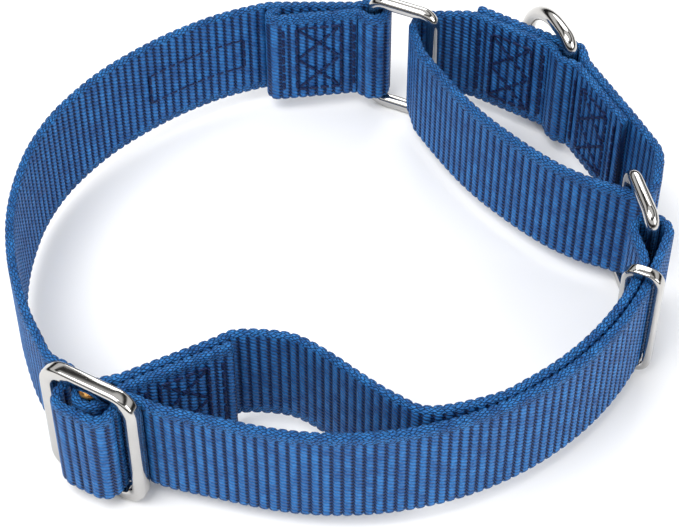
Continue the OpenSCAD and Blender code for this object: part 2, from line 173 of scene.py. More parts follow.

# %% [markdown]
# ## The way the straps run
#
# A strap is easiest to make flat and then bend. Its way round the collar is drawn
# in plan, in millimetres, from the same given points as the plain solids:
# straight lines, arcs round the metal bars, rounded corners, and smooth curves.

# %% Sizes in millimetres
STRAP_W, STRAP_T = 19.0, 1.6
RIB = 1.56                                # from one rib of the webbing to the next
RING_WIRE, RING_LEN = 2.4, 11.0           # wire, and from one upright bar to the other
D_WIRE, D_REACH = 2.5, 15.5               # leash ring: wire, and straight bar to crown
WIRE_BEND = 2.2                           # corner of a ring, at the middle of its wire
FRAME_FACE, FRAME_T, BAR_D = 2.3, 2.5, 2.2   # the slide, and its centre bar
KEEPER_W, KEEPER_T = 2.0, 1.3             # the keeper's band
BOX_LEN, BOX_H, ROW_GAP = 7.8, 14.0, 2.3  # a stitched box, and the row beside it
PLY = 1.7                                 # from the middle of one sewn layer to the next
WIRE_GAP, BAR_GAP, D_GAP = 0.3, 0.1, 0.25    # strap to ring wire, slide bar and leash ring
EDGE_GAP, FRAME_GAP = 0.4, 0.55           # strap's edge to metal, and strap to slide frame
BIGHT_GAP, WINDOW_GAP = 0.75, 1.0         # bight to ring B, and strap to the slide's uprights
PART_R = 1.5                              # corner where two sewn layers part
ROWS_MARGIN = 1.8                         # from the last row of stitches to the cut end
SPANS = 8                                 # steps between two points of a smooth curve
MIDDLE = Vector((-0.0073, -4.0330))       # the plan's middle, which stands on the origin
MID_Z = D_WIRE + EDGE_GAP + STRAP_W / 2   # half way up every strap and every metal part
METAL_H = 2 * MID_Z
print("strap", STRAP_W, "by", STRAP_T, "mm, metal", METAL_H, "mm tall")


# %% Helpers that draw the plan
def unit(a):
    """The direction at a degrees."""
    return Vector((math.cos(math.radians(a)), math.sin(math.radians(a))))


def aim(p, q):
    """The direction from p to q, in degrees."""
    return math.degrees(math.atan2(q[1] - p[1], q[0] - p[0]))


def left_of(v):
    """The direction a quarter turn to the left of v."""
    return Vector((-v.y, v.x))


def arc(c, r, a0, a1, step=4):
    """Points of an arc about c from angle a0 to angle a1."""
    n = max(1, math.ceil(abs(a1 - a0) / step))
    return [Vector(c) + r * unit(a0 + (a1 - a0) * i / n) for i in range(n + 1)]


def wrap(p, q, c, r, side):
    """Points where a line from p goes round a bar at c, left (1) or right (-1), and leaves for q."""
    p, q, c = Vector(p), Vector(q), Vector(c)
    a0 = aim(p, c) - side * math.degrees(math.asin(r / (c - p).length)) - side * 90
    a1 = aim(q, c) + side * math.degrees(math.asin(r / (c - q).length)) + 180 - side * 90
    return arc(c, r, a0, a0 + side * ((side * (a1 - a0)) % 360))


def rounded(a, b, c, r):
    """Points that round the corner b, between a and c."""
    a, b, c = Vector(a), Vector(b), Vector(c)
    u, w = (a - b).normalized(), (c - b).normalized()
    half = math.acos(max(-1, min(1, u.dot(w)))) / 2
    back = min(r / math.tan(half), 0.48 * min((a - b).length, (c - b).length))
    rr = back * math.tan(half)
    centre = b + (u + w).normalized() * (rr / math.sin(half))
    side = 1 if (b - a).cross(c - b) > 0 else -1
    a0 = aim(centre, b + back * u)
    return arc(centre, rr, a0, a0 + side * (180 - 2 * math.degrees(half)))


def route(points):
    """A way through points (x, y), or (x, y, corner radius)."""
    way = []
    for i, p in enumerate(points):
        if len(p) == 3 and 0 < i < len(points) - 1:
            way += rounded(points[i - 1][:2], p[:2], points[i + 1][:2], p[2])
        else:
            way.append(Vector(p[:2]))
    return way


def smooth_way(points):
    """A smooth curve through given points, in SPANS steps between two of them."""
    p = [Vector(q) for q in points]
    p = [2 * p[0] - p[1]] + p + [2 * p[-1] - p[-2]]
    way = []
    for i in range(1, len(p) - 2):
        for j in range(SPANS):
            t = j / SPANS
            way.append(0.5 * (2 * p[i] + (p[i + 1] - p[i - 1]) * t
                              + (2 * p[i - 1] - 5 * p[i] + 4 * p[i + 1] - p[i + 2]) * t * t
                              + (3 * p[i] - p[i - 1] - 3 * p[i + 1] + p[i + 2]) * t ** 3))
    return way + [p[-2]]


def clean(points):
    """The same way without the points that all but repeat the one before."""
    way = [points[0]]
    for p in points[1:]:
        if (p - way[-1]).length > 0.02:
            way.append(p)
    return way


def way_length(points):
    """The length along a way."""
    return sum((b - a).length for a, b in zip(points, points[1:]))


def beside(way, off):
    """The same way, moved sideways by off: left is positive."""
    moved = []
    for i, p in enumerate(way):
        a, b = way[max(0, i - 1)], way[min(len(way) - 1, i + 1)]
        moved.append(p + off * left_of((b - a).normalized()))
    return moved


def spot(p):
    """A point of the plan, half way up the strap, in the frame."""
    return Vector((*((Vector(p) - MIDDLE) * MM), MID_Z * MM))


# %% Stations of the metal in the plan
pin_a, pin_b = Vector((6, 40.3)), Vector((48.4, -11.8))
ring_a_turn, ring_b_turn = -24.6, 101.5
slide_at, slide_turn, end_turn = Vector((-36, -44.2)), -30, 27
d_pin, d_turn = Vector((38.9, 29.2)), 112
keeper_turn = -25.5
hinge_at = Vector((-50.9, -13.8))
print("ring bars at", tuple(round(c, 1) for c in (*pin_a, *pin_b)))

# %% The neck strap's sewn fold
POCKET = 0.5           # from the ring's bend to where the two layers part
FOLD_R = 1.1           # corner of the inner layer where they part
FOLD_MARGIN = 0.7      # from there to the first row of stitches
HEM_LEAN = 0.5         # from the last row to where the inner layer starts to lean
TUCK = 1               # length of the end that is tucked under
ring_bend = RING_WIRE / 2 + WIRE_GAP + STRAP_T / 2
back_y = pin_a.y + 1.1   # the fold's outer layer
front_y = back_y - PLY
hem_y = front_y - PLY - 0.1
fold_x = pin_a.x - ring_bend - POCKET
sewn_len = BOX_LEN + 2 * ROW_GAP
sewn_x = fold_x - FOLD_MARGIN - sewn_len / 2
hem_x = sewn_x - sewn_len / 2 - HEM_LEAN
hem_end_x = hem_x - 0.8
front_turn = aim((hem_x, hem_y), (fold_x, front_y))
fold = wrap((fold_x, front_y), (fold_x, back_y), pin_a, ring_bend, 1)
fold_way = clean([Vector((hem_end_x + TUCK, front_y)), Vector((hem_end_x, front_y))]
                 + arc((hem_end_x, (front_y + hem_y) / 2), (front_y - hem_y) / 2, 90, 270, step=12)
                 + route([(hem_end_x, hem_y), (hem_x, hem_y, PART_R), (fold_x, front_y, FOLD_R), fold[0]])
                 + fold + [Vector((fold_x, back_y)), Vector((hem_end_x, back_y))])
print("fold", round(way_length(fold_way), 1), "mm, leaning", round(front_turn, 1), "degrees")

# %% The neck strap's way to the slide
bar_bend = BAR_D / 2 + BAR_GAP + STRAP_T / 2
wave_half, wave_h = bar_bend + 1.5 * STRAP_T, bar_bend + STRAP_T + WIRE_GAP
under_h = -(FRAME_T / 2 + FRAME_GAP + STRAP_T / 2)


def slide_point(s, h):
    """A point s along the slide and h out of it."""
    return slide_at + s * unit(slide_turn) - h * left_of(unit(slide_turn))


left_run = [(-20.5, 38.3), (-27.3, 34.4), (-33.3, 29.9), (-39.2, 24.4), (-43.7, 18.7),
            (-47.2, 12.8), (-49.8, 5.8), (-51.1, -1.6), (-51.4, -8)]
near_left = [(-49.9, -19.2), (-48.4, -24.4), (-46.6, -29.4)]
neck_curve = smooth_way([(hem_end_x, back_y), (hem_end_x - 2.2, back_y - 0.4)] + left_run + [hinge_at]
                        + near_left + [slide_point(-12.5, under_h) + Vector((1, 2))])
hinge = SPANS * (len(left_run) + 2)
neck_way = clean(fold_way + neck_curve[:hinge + 1])
print("neck strap", round(way_length(neck_way), 1), "mm to the hinge")

# %% [markdown]
# The strap goes in behind one upright of the slide, over the centre bar and out
# behind the other, which is what holds it by friction. It then runs round the
# front to ring B, turns back inside itself, and its sewn end hangs on that bar.

# %% The strap through the slide
RUN_R, RUN_START, RUN_END = 52.0, -105, -21     # the near run is a true arc
ENTRY_R, WAVE_OUT_R, MEET_R = 5, 3.8, 25        # its corners on the way there
entry_at = slide_point(-9.5, under_h)
wave = [(*slide_point(-wave_half, under_h), PART_R), (*slide_point(-wave_half, wave_h), WAVE_OUT_R),
        slide_point(0, wave_h), (*slide_point(wave_half, wave_h), WAVE_OUT_R),
        (*slide_point(wave_half, under_h), PART_R)]
tangent = left_of(unit(RUN_START))
line_at, line_dir = slide_point(0, under_h), unit(slide_turn)
meet = line_at + line_dir * ((RUN_R * unit(RUN_START) - line_at).cross(tangent)
                             / line_dir.cross(tangent))
entry_way = clean(neck_curve[hinge:]
                  + route([neck_curve[-1], (*entry_at, ENTRY_R), wave[0], wave[1], wave[2]]))
exit_way = route([wave[2], wave[3], wave[4], (*meet, MEET_R), RUN_R * unit(RUN_START)])
print("through the slide", round(way_length(entry_way) + way_length(exit_way), 1), "mm")

# %% The outer layer and its bight round ring B
INNER_START = RUN_END - 3            # the inner layer is a true arc from here
SLACK_CUT, SLACK_FREE = -31, -56     # where the slack starts, and where it leaves the outer layer
BIGHT_OUT_R = 4
inner_r = RUN_R - PLY - 0.1
bight_r = RING_WIRE / 2 + STRAP_T / 2 + BIGHT_GAP
bight_in, bight_out = RUN_R * unit(RUN_END), inner_r * unit(RUN_END)
bight = wrap(bight_in, bight_out, pin_b, bight_r, 1)
outer_way = clean(exit_way + arc((0, 0), RUN_R, RUN_START, RUN_END) + bight
                  + route([bight[-1], (*bight_out, BIGHT_OUT_R), inner_r * unit(INNER_START)])
                  + arc((0, 0), inner_r, INNER_START, SLACK_CUT))
print("outer", round(way_length(outer_way), 1), "mm")

# %% The sewn end and the slack before it
end_dir = unit(end_turn)
end_start = 5.2                # where the two layers meet beside the bar
end_row = end_start + 2.6      # the first row of stitches
end_stop = end_row + sewn_len + ROWS_MARGIN + 0.2
end_cut = end_stop - 1.5       # the slack ends and the sewn end begins here


def end_point(s, side):
    """A point s along the sewn end, on its left (1) or right (-1) layer."""
    return slide_at + s * end_dir + side * PLY / 2 * left_of(end_dir)


slack_points = [(13.2, -47.1), (8, -44.8), (3, -41), (-1.5, -37.1), (-6.5, -33.7), (-11.5, -32.7)]
slack_way = clean(arc((0, 0), inner_r, SLACK_CUT, SLACK_FREE)
                  + smooth_way([inner_r * unit(SLACK_FREE), inner_r * unit(SLACK_FREE - 7)] + slack_points
                               + [end_point(end_stop + 1, 1) + 0.1 * left_of(end_dir),
                                  end_point(end_cut, 1)]))
end_way = clean([end_point(end_cut, 1), end_point(end_start, 1)]
                + wrap(end_point(end_start, 1), end_point(end_start, -1), slide_at, bar_bend, 1)
                + [end_point(end_start, -1), end_point(end_stop, -1)])
print("slack", round(way_length(slack_way), 1), "sewn end", round(way_length(end_way), 1), "mm")

# %% [markdown]
# The control loop is one strap through both rings. Its two ends lap over the
# leash ring's bar and are sewn down, so a pull on that ring closes the collar.

# %% The control loop
turn_a, turn_b = 148, 116      # directions of its two sewn stretches
LOOP_R = 3.6                   # the bend round a ring's free bar
LAP_R, LOOP_CORNER_R = 5, 7
row_start = 1.2                # from the leash ring's pocket to the first row
lap = row_start + sewn_len + ROWS_MARGIN
dir_a, dir_b = unit(turn_a), unit(turn_b)
in_a, in_b = d_pin + Vector((-2.7, 1.7)), d_pin + Vector((1, -3))
over_a, over_b = in_a - PLY * left_of(dir_a), in_b - PLY * left_of(dir_b)
loop_a = pin_a + RING_LEN * unit(ring_a_turn) + Vector((0.198, -0.321))
loop_b = pin_b + RING_LEN * unit(ring_b_turn) + Vector((0.693, 0.821))
loop_corner = Vector((51.7, 5.4))
front = [(13.7, 29.5), (16.5, 24.3), (20.1, 18.2), (23.7, 13.2), (27.7, 8.7), (31.6, 4.8),
         (35.4, 1.6), (39.5, -1)]
d_bend = D_WIRE / 2 + D_GAP + STRAP_T / 2
lap_a = in_a + lap * dir_a
bend_a = wrap(lap_a, front[0], loop_a, LOOP_R, 1)
bend_b = wrap(front[-1], loop_corner, loop_b, LOOP_R, 1)
round_in = wrap(in_b, in_a, d_pin, d_bend, -1)
round_out = wrap(over_b, over_a, d_pin, d_bend, 1)
control_way = clean(
    route([in_b - lap * dir_b, (*in_b, PART_R), round_in[0]]) + round_in
    + route([round_in[-1], (*in_a, PART_R), (*lap_a, LAP_R), bend_a[0]]) + bend_a
    + smooth_way(front) + bend_b
    + route([bend_b[-1], (*loop_corner, LOOP_CORNER_R), over_b - lap * dir_b, (*over_b, PART_R),
             round_out[0]])
    + round_out + route([round_out[-1], (*over_a, PART_R), over_a + lap * dir_a]))
print("control loop", round(way_length(control_way), 1), "mm")


# %% [markdown]
# ## Webbing
#
# Nylon webbing is woven in ribs: each filling thread lifts the long threads into
# a bar across the strap, 1.56 mm from the next. One rib is modelled and an array
# lays it end to end, and a curve then bends the flat strap along its way. It could
# be a smooth band with a bump for the ribs, but the ribs show on the outline and
# open and close on the bends, so they are real shape here.

# %% Helpers for modelling
def deselect():
    """Leaves nothing selected."""
    bpy.ops.object.select_all(action="DESELECT")


def take(piece):
    """Makes a piece the one that the next step works on."""
    deselect()
    piece.select_set(True)
    bpy.context.view_layer.objects.active = piece


def choose(piece, kind, test):
    """Selects the faces, edges or verts of a piece in edit mode that pass a test."""
    bpy.ops.mesh.select_mode(type={"faces": "FACE", "edges": "EDGE", "verts": "VERT"}[kind])
    bpy.ops.mesh.select_all(action="DESELECT")
    mesh = bmesh.from_edit_mesh(piece.data)
    for part in getattr(mesh, kind):
        if test(part):
            part.select_set(True)
    mesh.select_flush_mode()
    bmesh.update_edit_mesh(piece.data)


def settle(piece, name):
    """Puts a piece's place and turn into its mesh, so that its object sits at the origin."""
    take(piece)
    bpy.ops.object.transform_apply(location=True, rotation=True, scale=True)
    piece.name = piece.data.name = name
    return piece


def joined(name, pieces):
    """One object made of several."""
    take(pieces[0])
    for piece in pieces:
        piece.select_set(True)
    bpy.ops.object.join()
    whole = bpy.context.object
    whole.name = whole.data.name = name
    return whole


def sharp(edge):
    """Whether two faces meet at an edge by more than 60 degrees."""
    return len(edge.link_faces) == 2 and edge.calc_face_angle() > math.radians(60)


def repeat(piece, count, pitch, **settings):
    """Lays copies of a piece end to end along X, pitch apart."""
    rows = piece.modifiers.new("rows", "ARRAY")
    rows.count, rows.use_relative_offset, rows.use_constant_offset = count, False, True
    rows.constant_offset_displace = (pitch, 0, 0)
    for key, value in settings.items():
        setattr(rows, key, value)
    bpy.ops.object.modifier_apply(modifier=rows.name)


def bend_along(piece, way):
    """Bends a piece that lies along X onto a way of the plan, half way up the straps."""
    line = bpy.data.curves.new(piece.name + "_way", "CURVE")
    line.dimensions, line.use_radius = "2D", False
    spline = line.splines.new("POLY")
    spline.points.add(len(way) - 1)
    for point, p in zip(spline.points, way):
        point.co = (*((p - MIDDLE) * MM), 0, 1)
    guide = bpy.data.objects.new(line.name, line)
    bpy.context.scene.collection.objects.link(guide)
    take(piece)
    bend = piece.modifiers.new("bend", "CURVE")
    bend.object, bend.deform_axis = guide, "POS_X"
    bpy.ops.object.modifier_apply(modifier=bend.name)
    bpy.data.objects.remove(guide)
    piece.data.transform(Matrix.Translation((0, 0, MID_Z * MM)))


# %% A map that follows the strap
def lay_uv(tile, pitch):
    """U runs 0 to 1 along a rib. V runs 0 to 2 round the strap: a face and an edge, then the others."""
    mesh = bmesh.new()
    mesh.from_mesh(tile.data)
    ring = [v for v in mesh.verts if v.co.x < 1e-7]
    order = [min(ring, key=lambda v: (round(v.co.z, 6), v.co.y))]
    while len(order) < len(ring):
        steps = [e.other_vert(order[-1]) for e in order[-1].link_edges]
        steps = [v for v in steps if v.co.x < 1e-7 and v not in order]
        if len(order) == 1:
            steps = sorted(steps, key=lambda v: v.co.y)
        order.append(steps[0])
    run, total = {}, 0.0
    for a, b in zip(order, order[1:] + order[:1]):
        run[(round(a.co.y, 6), round(a.co.z, 6))] = total
        total += (b.co - a.co).length
    layer = mesh.loops.layers.uv.new("along_strap")
    for face in mesh.faces:
        where = [run[(round(loop.vert.co.y, 6), round(loop.vert.co.z, 6))] for loop in face.loops]
        if max(where) - min(where) > total / 2:
            where = [w + total if w < total / 2 else w for w in where]
        for loop, w in zip(face.loops, where):
            loop[layer].uv = (loop.vert.co.x / pitch, 2 * w / total)
    mesh.to_mesh(tile.data)
    mesh.free()


# %% One rib
EDGE_R, EDGE_CUT = 0.5, 1.6    # rounding of the strap's corners, and a cut beside each edge
# Along a rib: how deep each face dips there, and how far each edge draws in.
RIB_PROFILE = ((0, 0.28, 0.13), (0.2, 0.06, 0.02), (0.8, 0.06, 0.02), (1, 0.28, 0.13))


def rib_tile(name, pitch):
    """One rib of webbing, open at both ends: pitch long, in metres."""
    width, thick = STRAP_W * MM, STRAP_T * MM
    deselect()
    bpy.ops.mesh.primitive_cube_add(size=1, location=(pitch / 2, 0, 0), scale=(pitch, thick, width))
    tile = settle(bpy.context.object, name)
    bpy.ops.object.mode_set(mode="EDIT")
    choose(tile, "faces", lambda f: abs(f.normal.x) > 0.9)
    bpy.ops.mesh.delete(type="ONLY_FACE")
    choose(tile, "edges", lambda e: abs(e.verts[0].co.x - e.verts[1].co.x) > pitch / 2)
    bpy.ops.mesh.bevel(offset=EDGE_R * MM, segments=2, affect="EDGES")
    for side in (-1, 1):
        bpy.ops.mesh.select_all(action="SELECT")
        bpy.ops.mesh.bisect(plane_co=(0, 0, side * (width / 2 - EDGE_CUT * MM)), plane_no=(0, 0, 1))
    for share in (0.2, 0.5, 0.8):
        bpy.ops.mesh.select_all(action="SELECT")
        bpy.ops.mesh.bisect(plane_co=(share * pitch, 0, 0), plane_no=(1, 0, 0))
    bpy.ops.object.mode_set(mode="OBJECT")
    lay_uv(tile, pitch)
    bpy.ops.object.mode_set(mode="EDIT")
    for share, dip, nip in RIB_PROFILE:
        choose(tile, "verts", lambda v: abs(v.co.x - share * pitch) < 1e-6)
        bpy.ops.transform.resize(value=(1, 1 - 2 * dip / STRAP_T, 1 - 2 * nip / STRAP_W))
    bpy.ops.object.mode_set(mode="OBJECT")
    return tile


# %% A strap along its way
def strap(name, way):
    """A length of webbing, standing on its edge, whose middle follows a way of the plan."""
    length = way_length(way) * MM
    count = round(length / (RIB * MM))
    piece = rib_tile(name, length / count)
    repeat(piece, count, length / count, use_merge_vertices=True, merge_threshold=1e-6, offset_u=1)
    bpy.ops.object.mode_set(mode="EDIT")
    for end in (0, length):
        choose(piece, "edges", lambda e: all(abs(v.co.x - end) < 1e-5 for v in e.verts))
        bpy.ops.mesh.edge_face_add()
    bpy.ops.object.mode_set(mode="OBJECT")
    bend_along(piece, way)
    bpy.ops.object.shade_smooth_by_angle(angle=math.radians(70))
    print(name, count, "ribs,", round(length / MM, 1), "mm,", len(piece.data.polygons), "faces")
    return piece


neck_piece = strap("neck_webbing", neck_way)
entry_piece = strap("slide_entry_webbing", entry_way)
outer_piece = strap("outer_webbing", outer_way)
slack_piece = strap("slack_webbing", slack_way)
end_piece = strap("sewn_end_webbing", end_way)
control_piece = strap("control_webbing", control_way)

# %% [markdown]
# Dyed nylon is a clear blue on top of a rib, where the long threads lie side by
# side. Where they dive between two ribs, painted shade darkens the groove. The
# threads cross that groove on a slant, which leaves a row of small slanted dashes
# of painted shade, nearly black, and thin lines of painted shade lie between the
# threads. A narrow braided edge closes each side. The pattern reads the strap's own
# map, so it follows every bend. A thread is 0.8 mm here, coarser than a real one, so that it shows.


# %% Helpers for patterns
def math_node(tree, operation, *values, clamp=False):
    """A Math node whose inputs are numbers or sockets."""
    links = {i: v for i, v in enumerate(values) if not isinstance(v, (int, float))}
    numbers = {i: v for i, v in enumerate(values) if isinstance(v, (int, float))}
    return add(tree, "ShaderNodeMath", links, numbers, operation=operation, use_clamp=clamp).outputs[0]


def blend_colour(tree, factor, a, b):
    """Colour a where the factor is 0 and b where it is 1."""
    node = add(tree, "ShaderNodeMix", data_type="RGBA")
    tree.links.new(factor, node.inputs["Factor"])
    for key, value in (("A", a), ("B", b)):
        if isinstance(value, (list, tuple)):
            node.inputs[key].default_value = value
        else:
            tree.links.new(value, node.inputs[key])
    return node.outputs["Result"]


def step_between(tree, value, low, high):
    """0 below low, 1 above high, and smooth between."""
    return add(tree, "ShaderNodeMapRange", {"Value": value}, {"From Min": low, "From Max": high},
               interpolation_type="SMOOTHSTEP").outputs[0]


# %% Where a point of the webbing lies on its rib
webbing_material, tree, output = new_material("dyed_nylon_webbing")
uv = add(tree, "ShaderNodeUVMap", uv_map="along_strap")
split = add(tree, "ShaderNodeSeparateXYZ", {0: uv.outputs[0]})
rib_place = math_node(tree, "FRACT", split.outputs["X"])
across = math_node(tree, "MULTIPLY", math_node(tree, "FRACT", split.outputs["Y"]), STRAP_W + STRAP_T)
from_rib = math_node(tree, "SUBTRACT", rib_place, 0.5)            # -0.5 to 0.5 over a rib
off_crest = math_node(tree, "MULTIPLY", math_node(tree, "ABSOLUTE", from_rib), 2)
groove = step_between(tree, off_crest, 0.42, 0.82)
print("a map", STRAP_W + STRAP_T, "mm across, ribs of", RIB, "mm")

# %% The threads that cross the grooves on a slant
THREAD_PITCH = 0.8
slant = math_node(tree, "MULTIPLY", math_node(tree, "MULTIPLY", from_rib, off_crest), 1.5)
thread_run = math_node(tree, "ADD", math_node(tree, "DIVIDE", across, THREAD_PITCH), slant)
from_thread = math_node(tree, "SUBTRACT", math_node(tree, "FRACT", thread_run), 0.5)
thread_side = math_node(tree, "MULTIPLY", math_node(tree, "ABSOLUTE", from_thread), 2)
between = step_between(tree, thread_side, 0.36, 0.66)
# Painted shade: dashes where the threads dive into the groove, and hairlines between threads.
shaded_dash = math_node(tree, "MULTIPLY", groove, between)
hairline_shade = math_node(tree, "MULTIPLY", step_between(tree, thread_side, 0.66, 1.0), 0.55)
print(round((STRAP_W + STRAP_T) / THREAD_PITCH), "threads across a face and an edge")

# %% The braided edge
# Small slanted cells stand for the strands of the braid, with a dark line of painted shade between them.
BRAID_START, BRAID_FULL = 8.4, 8.75        # from the strap's middle
from_mid = math_node(tree, "ABSOLUTE", math_node(tree, "SUBTRACT", across, STRAP_W / 2))
edge = step_between(tree, from_mid, BRAID_START, BRAID_FULL)
in_mm = math_node(tree, "MULTIPLY", split.outputs["X"], RIB)
flat = add(tree, "ShaderNodeCombineXYZ", {"X": in_mm, "Y": across})
slanted = add(tree, "ShaderNodeMapping", {"Vector": flat.outputs[0]})
slanted.inputs["Rotation"].default_value = (0, 0, math.radians(38))
slanted.inputs["Scale"].default_value = (1.0, 1.9, 1.0)
strands = add(tree, "ShaderNodeTexVoronoi", {"Vector": slanted.outputs[0]},
              {"Scale": 1.25, "Randomness": 0.55}, feature="DISTANCE_TO_EDGE", voronoi_dimensions="2D")
from_strand = math_node(tree, "MULTIPLY", strands.outputs["Distance"], 2.6)
braid_side = math_node(tree, "SUBTRACT", 1.0, from_strand, clamp=True)
braid_gap_shade = step_between(tree, braid_side, 0.62, 0.92)
print("braid", round(STRAP_W / 2 - BRAID_FULL, 2), "mm wide on each side of a face")

# %% Uneven dye and fuzz
# Dye takes in soft spots a little wider than a rib, and fuzz is much finer: per metre,
# as the noise counts them.
DYE_SCALE, FUZZ_SCALE = 420.0, 2600.0
place = add(tree, "ShaderNodeTexCoord")
dye = add(tree, "ShaderNodeTexNoise", {"Vector": place.outputs["Object"]},
          {"Scale": DYE_SCALE, "Detail": 3.0})
fuzz = add(tree, "ShaderNodeTexNoise", {"Vector": place.outputs["Object"]},
           {"Scale": FUZZ_SCALE, "Detail": 2.0})
fuzz_share = math_node(tree, "MULTIPLY", fuzz.outputs["Fac"], 0.5)
shade = math_node(tree, "MULTIPLY_ADD", dye.outputs["Fac"], 0.7, fuzz_share)
print("dye spots", round(1 / DYE_SCALE / MM, 1), "mm, fuzz", round(1 / FUZZ_SCALE / MM, 1), "mm")

# %% Colour of the webbing
# Dyed nylon: clear blue crests, with painted shade in the grooves, nearly black dashes of painted
# shade, and painted shade between threads and braid strands, give the eye the rows of a woven strap.
body = blend_colour(tree, step_between(tree, shade, 0.35, 0.85), linear("#134C8C"), linear("#2C7CC4"))
# Painted shade: the groove colour, then the dashes and the hairlines, darken the body colour.
low = blend_colour(tree, groove, body, linear("#103F7C"))
threads = blend_colour(tree, shaded_dash, low, linear("#051029"))
threads = blend_colour(tree, hairline_shade, threads, linear("#0D2A58"))
# Painted shade in the lines between the braid's strands.
braid = blend_colour(tree, braid_gap_shade, body, linear("#071736"))
colour = blend_colour(tree, edge, threads, braid)
print("colour", len(tree.nodes), "nodes")

# %% Relief and gloss of the webbing
# Round threads a fifth of a millimetre high catch a soft, wide highlight.
face_share = math_node(tree, "SUBTRACT", 1.0, edge)
thread_lift = math_node(tree, "SUBTRACT", 1.0, math_node(tree, "POWER", thread_side, 2.0))
thread_lift = math_node(tree, "SUBTRACT", thread_lift, math_node(tree, "MULTIPLY", shaded_dash, 0.8))
braid_lift = math_node(tree, "SUBTRACT", 1.0, math_node(tree, "POWER", braid_side, 2.0))
lift = math_node(tree, "ADD", math_node(tree, "MULTIPLY", thread_lift, face_share),
                 math_node(tree, "MULTIPLY", braid_lift, edge))
lift = math_node(tree, "ADD", lift, fuzz_share)
bump = add(tree, "ShaderNodeBump", {"Height": lift}, {"Strength": 1.0, "Distance": 0.22 * MM})
nylon = add(tree, "ShaderNodeBsdfPrincipled", {"Base Color": colour, "Normal": bump.outputs[0]},
            {"Roughness": 0.5, "Specular IOR Level": 0.25, "Sheen Weight": 0.03, "Sheen Roughness": 0.4})
nylon.inputs["Sheen Tint"].default_value = linear("#8FB8F0")
tree.links.new(nylon.outputs[0], output.inputs["Surface"])
print("webbing", len(tree.nodes), "nodes")

# %% Put the webbing in its place
for piece in (neck_piece, entry_piece, outer_piece, slack_piece, end_piece, control_piece):
    piece.data.materials.append(webbing_material)
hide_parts("neck_strap")
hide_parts("slide_entry_strap")
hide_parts("slide_exit_strap", "outer_strap")
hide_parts("slack_strap")
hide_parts("sewn_slide_end")
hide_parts("control_strap")
print("six lengths of webbing stand in their places")

# %% Let the webbing flex beside its joints
# A length that crosses a joint moves with one body up to the first point named,
# with the other from the second, and bends smoothly between them.
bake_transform(neck_piece, "neck", "collar", spot((-51.4, 4)), spot(hinge_at))
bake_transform(entry_piece, "collar", "slide", spot((-50.0, -18)), spot(entry_at))
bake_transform(outer_piece, "slide", "collar", spot(slide_point(wave_half, under_h)),
         spot(RUN_R * unit(RUN_START)))
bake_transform(slack_piece, "collar", "slide", spot((8, -44.8)), spot((-8, -33.2)))
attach(end_piece, "slide")
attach(control_piece, "control_loop")

# %% [markdown]
# ## Stitching
#
# Each sewn stretch has a box with two crosses in it and a single row on each side,
# in a thread a little darker than the strap. The thread sinks in and shows as
# short dark bars. One stitch is a capsule, an array repeats it along a row, and the
# finished box is copied to both faces of every sewn stretch.

# %% Sewing thread
# Bonded thread: its plies are twisted, and each stitch gets a fine dark stripe of painted shade in the
# groove between plies.
thread_material, tree, output = new_material("bonded_nylon_thread")
place = add(tree, "ShaderNodeTexCoord")
ply = add(tree, "ShaderNodeTexWave", {"Vector": place.outputs["Object"]},
          {"Scale": 900.0, "Distortion": 1.0}, bands_direction="DIAGONAL")
# Painted shade: the darker of the two colours lies in the groove between plies.
ply_shade = blend_colour(tree, ply.outputs["Fac"], linear("#050F2A"), linear("#102A5E"))
bump = add(tree, "ShaderNodeBump", {"Height": ply.outputs["Fac"]},
           {"Strength": 0.5, "Distance": 0.05 * MM})
cord = add(tree, "ShaderNodeBsdfPrincipled", {"Base Color": ply_shade, "Normal": bump.outputs[0]},
           {"Roughness": 0.6, "Specular IOR Level": 0.25})
tree.links.new(cord.outputs[0], output.inputs["Surface"])
print("thread", len(tree.nodes), "nodes")


# %% One row of stitches
THREAD_D, STITCH = 0.54, 1.9
STITCH_SHARE, STITCH_ROUND = 0.78, 0.13   # the part of a stitch that shows, and its rounded ends


def stitch_row(a, b, proud=0.0):
    """Stitches from a to b, given as (x, z) in millimetres. Their middle stands proud of y = 0."""
    a, b = Vector(a), Vector(b)
    count = max(1, round((b - a).length / STITCH))
    pitch = (b - a).length / count * MM
    deselect()
    bpy.ops.mesh.primitive_cylinder_add(vertices=8, radius=THREAD_D / 2 * MM, depth=pitch * STITCH_SHARE,
                                        location=(pitch / 2, 0, 0), rotation=(0, math.pi / 2, 0))
    row = settle(bpy.context.object, "stitches")
    bpy.ops.object.mode_set(mode="EDIT")
    choose(row, "faces", lambda f: abs(f.normal.x) > 0.9)
    bpy.ops.mesh.bevel(offset=STITCH_ROUND * MM, segments=2, affect="EDGES")
    bpy.ops.object.mode_set(mode="OBJECT")
    repeat(row, count, pitch)
    turn = math.atan2(b.y - a.y, b.x - a.x)
    row.data.transform(Matrix.Translation((a.x * MM, proud * MM, a.y * MM))
                       @ Matrix.Rotation(-turn, 4, "Y"))
    return row


# %% The box and its crosses
CROSS_IN, CROSS_APART = 0.4, 0.2   # the crosses stop short of the box, and of each other
w, h = BOX_LEN / 2, BOX_H / 2
box_rows = []
for side in (-1, 1):
    row_x, cross_x = side * (w + ROW_GAP), side * (w - CROSS_IN)
    box_rows += [stitch_row((side * w, -h), (side * w, h)),
                 stitch_row((row_x, -h), (row_x, h)),
                 stitch_row((-w, side * h), (w, side * h)),
                 stitch_row((-cross_x, CROSS_IN - h), (cross_x, -CROSS_APART)),
                 stitch_row((-cross_x, CROSS_APART), (cross_x, h - CROSS_IN))]
box_pattern = joined("box_pattern", box_rows)
bpy.ops.object.shade_smooth_by_angle(angle=math.radians(60))
print("box", len(box_pattern.data.polygons), "faces")


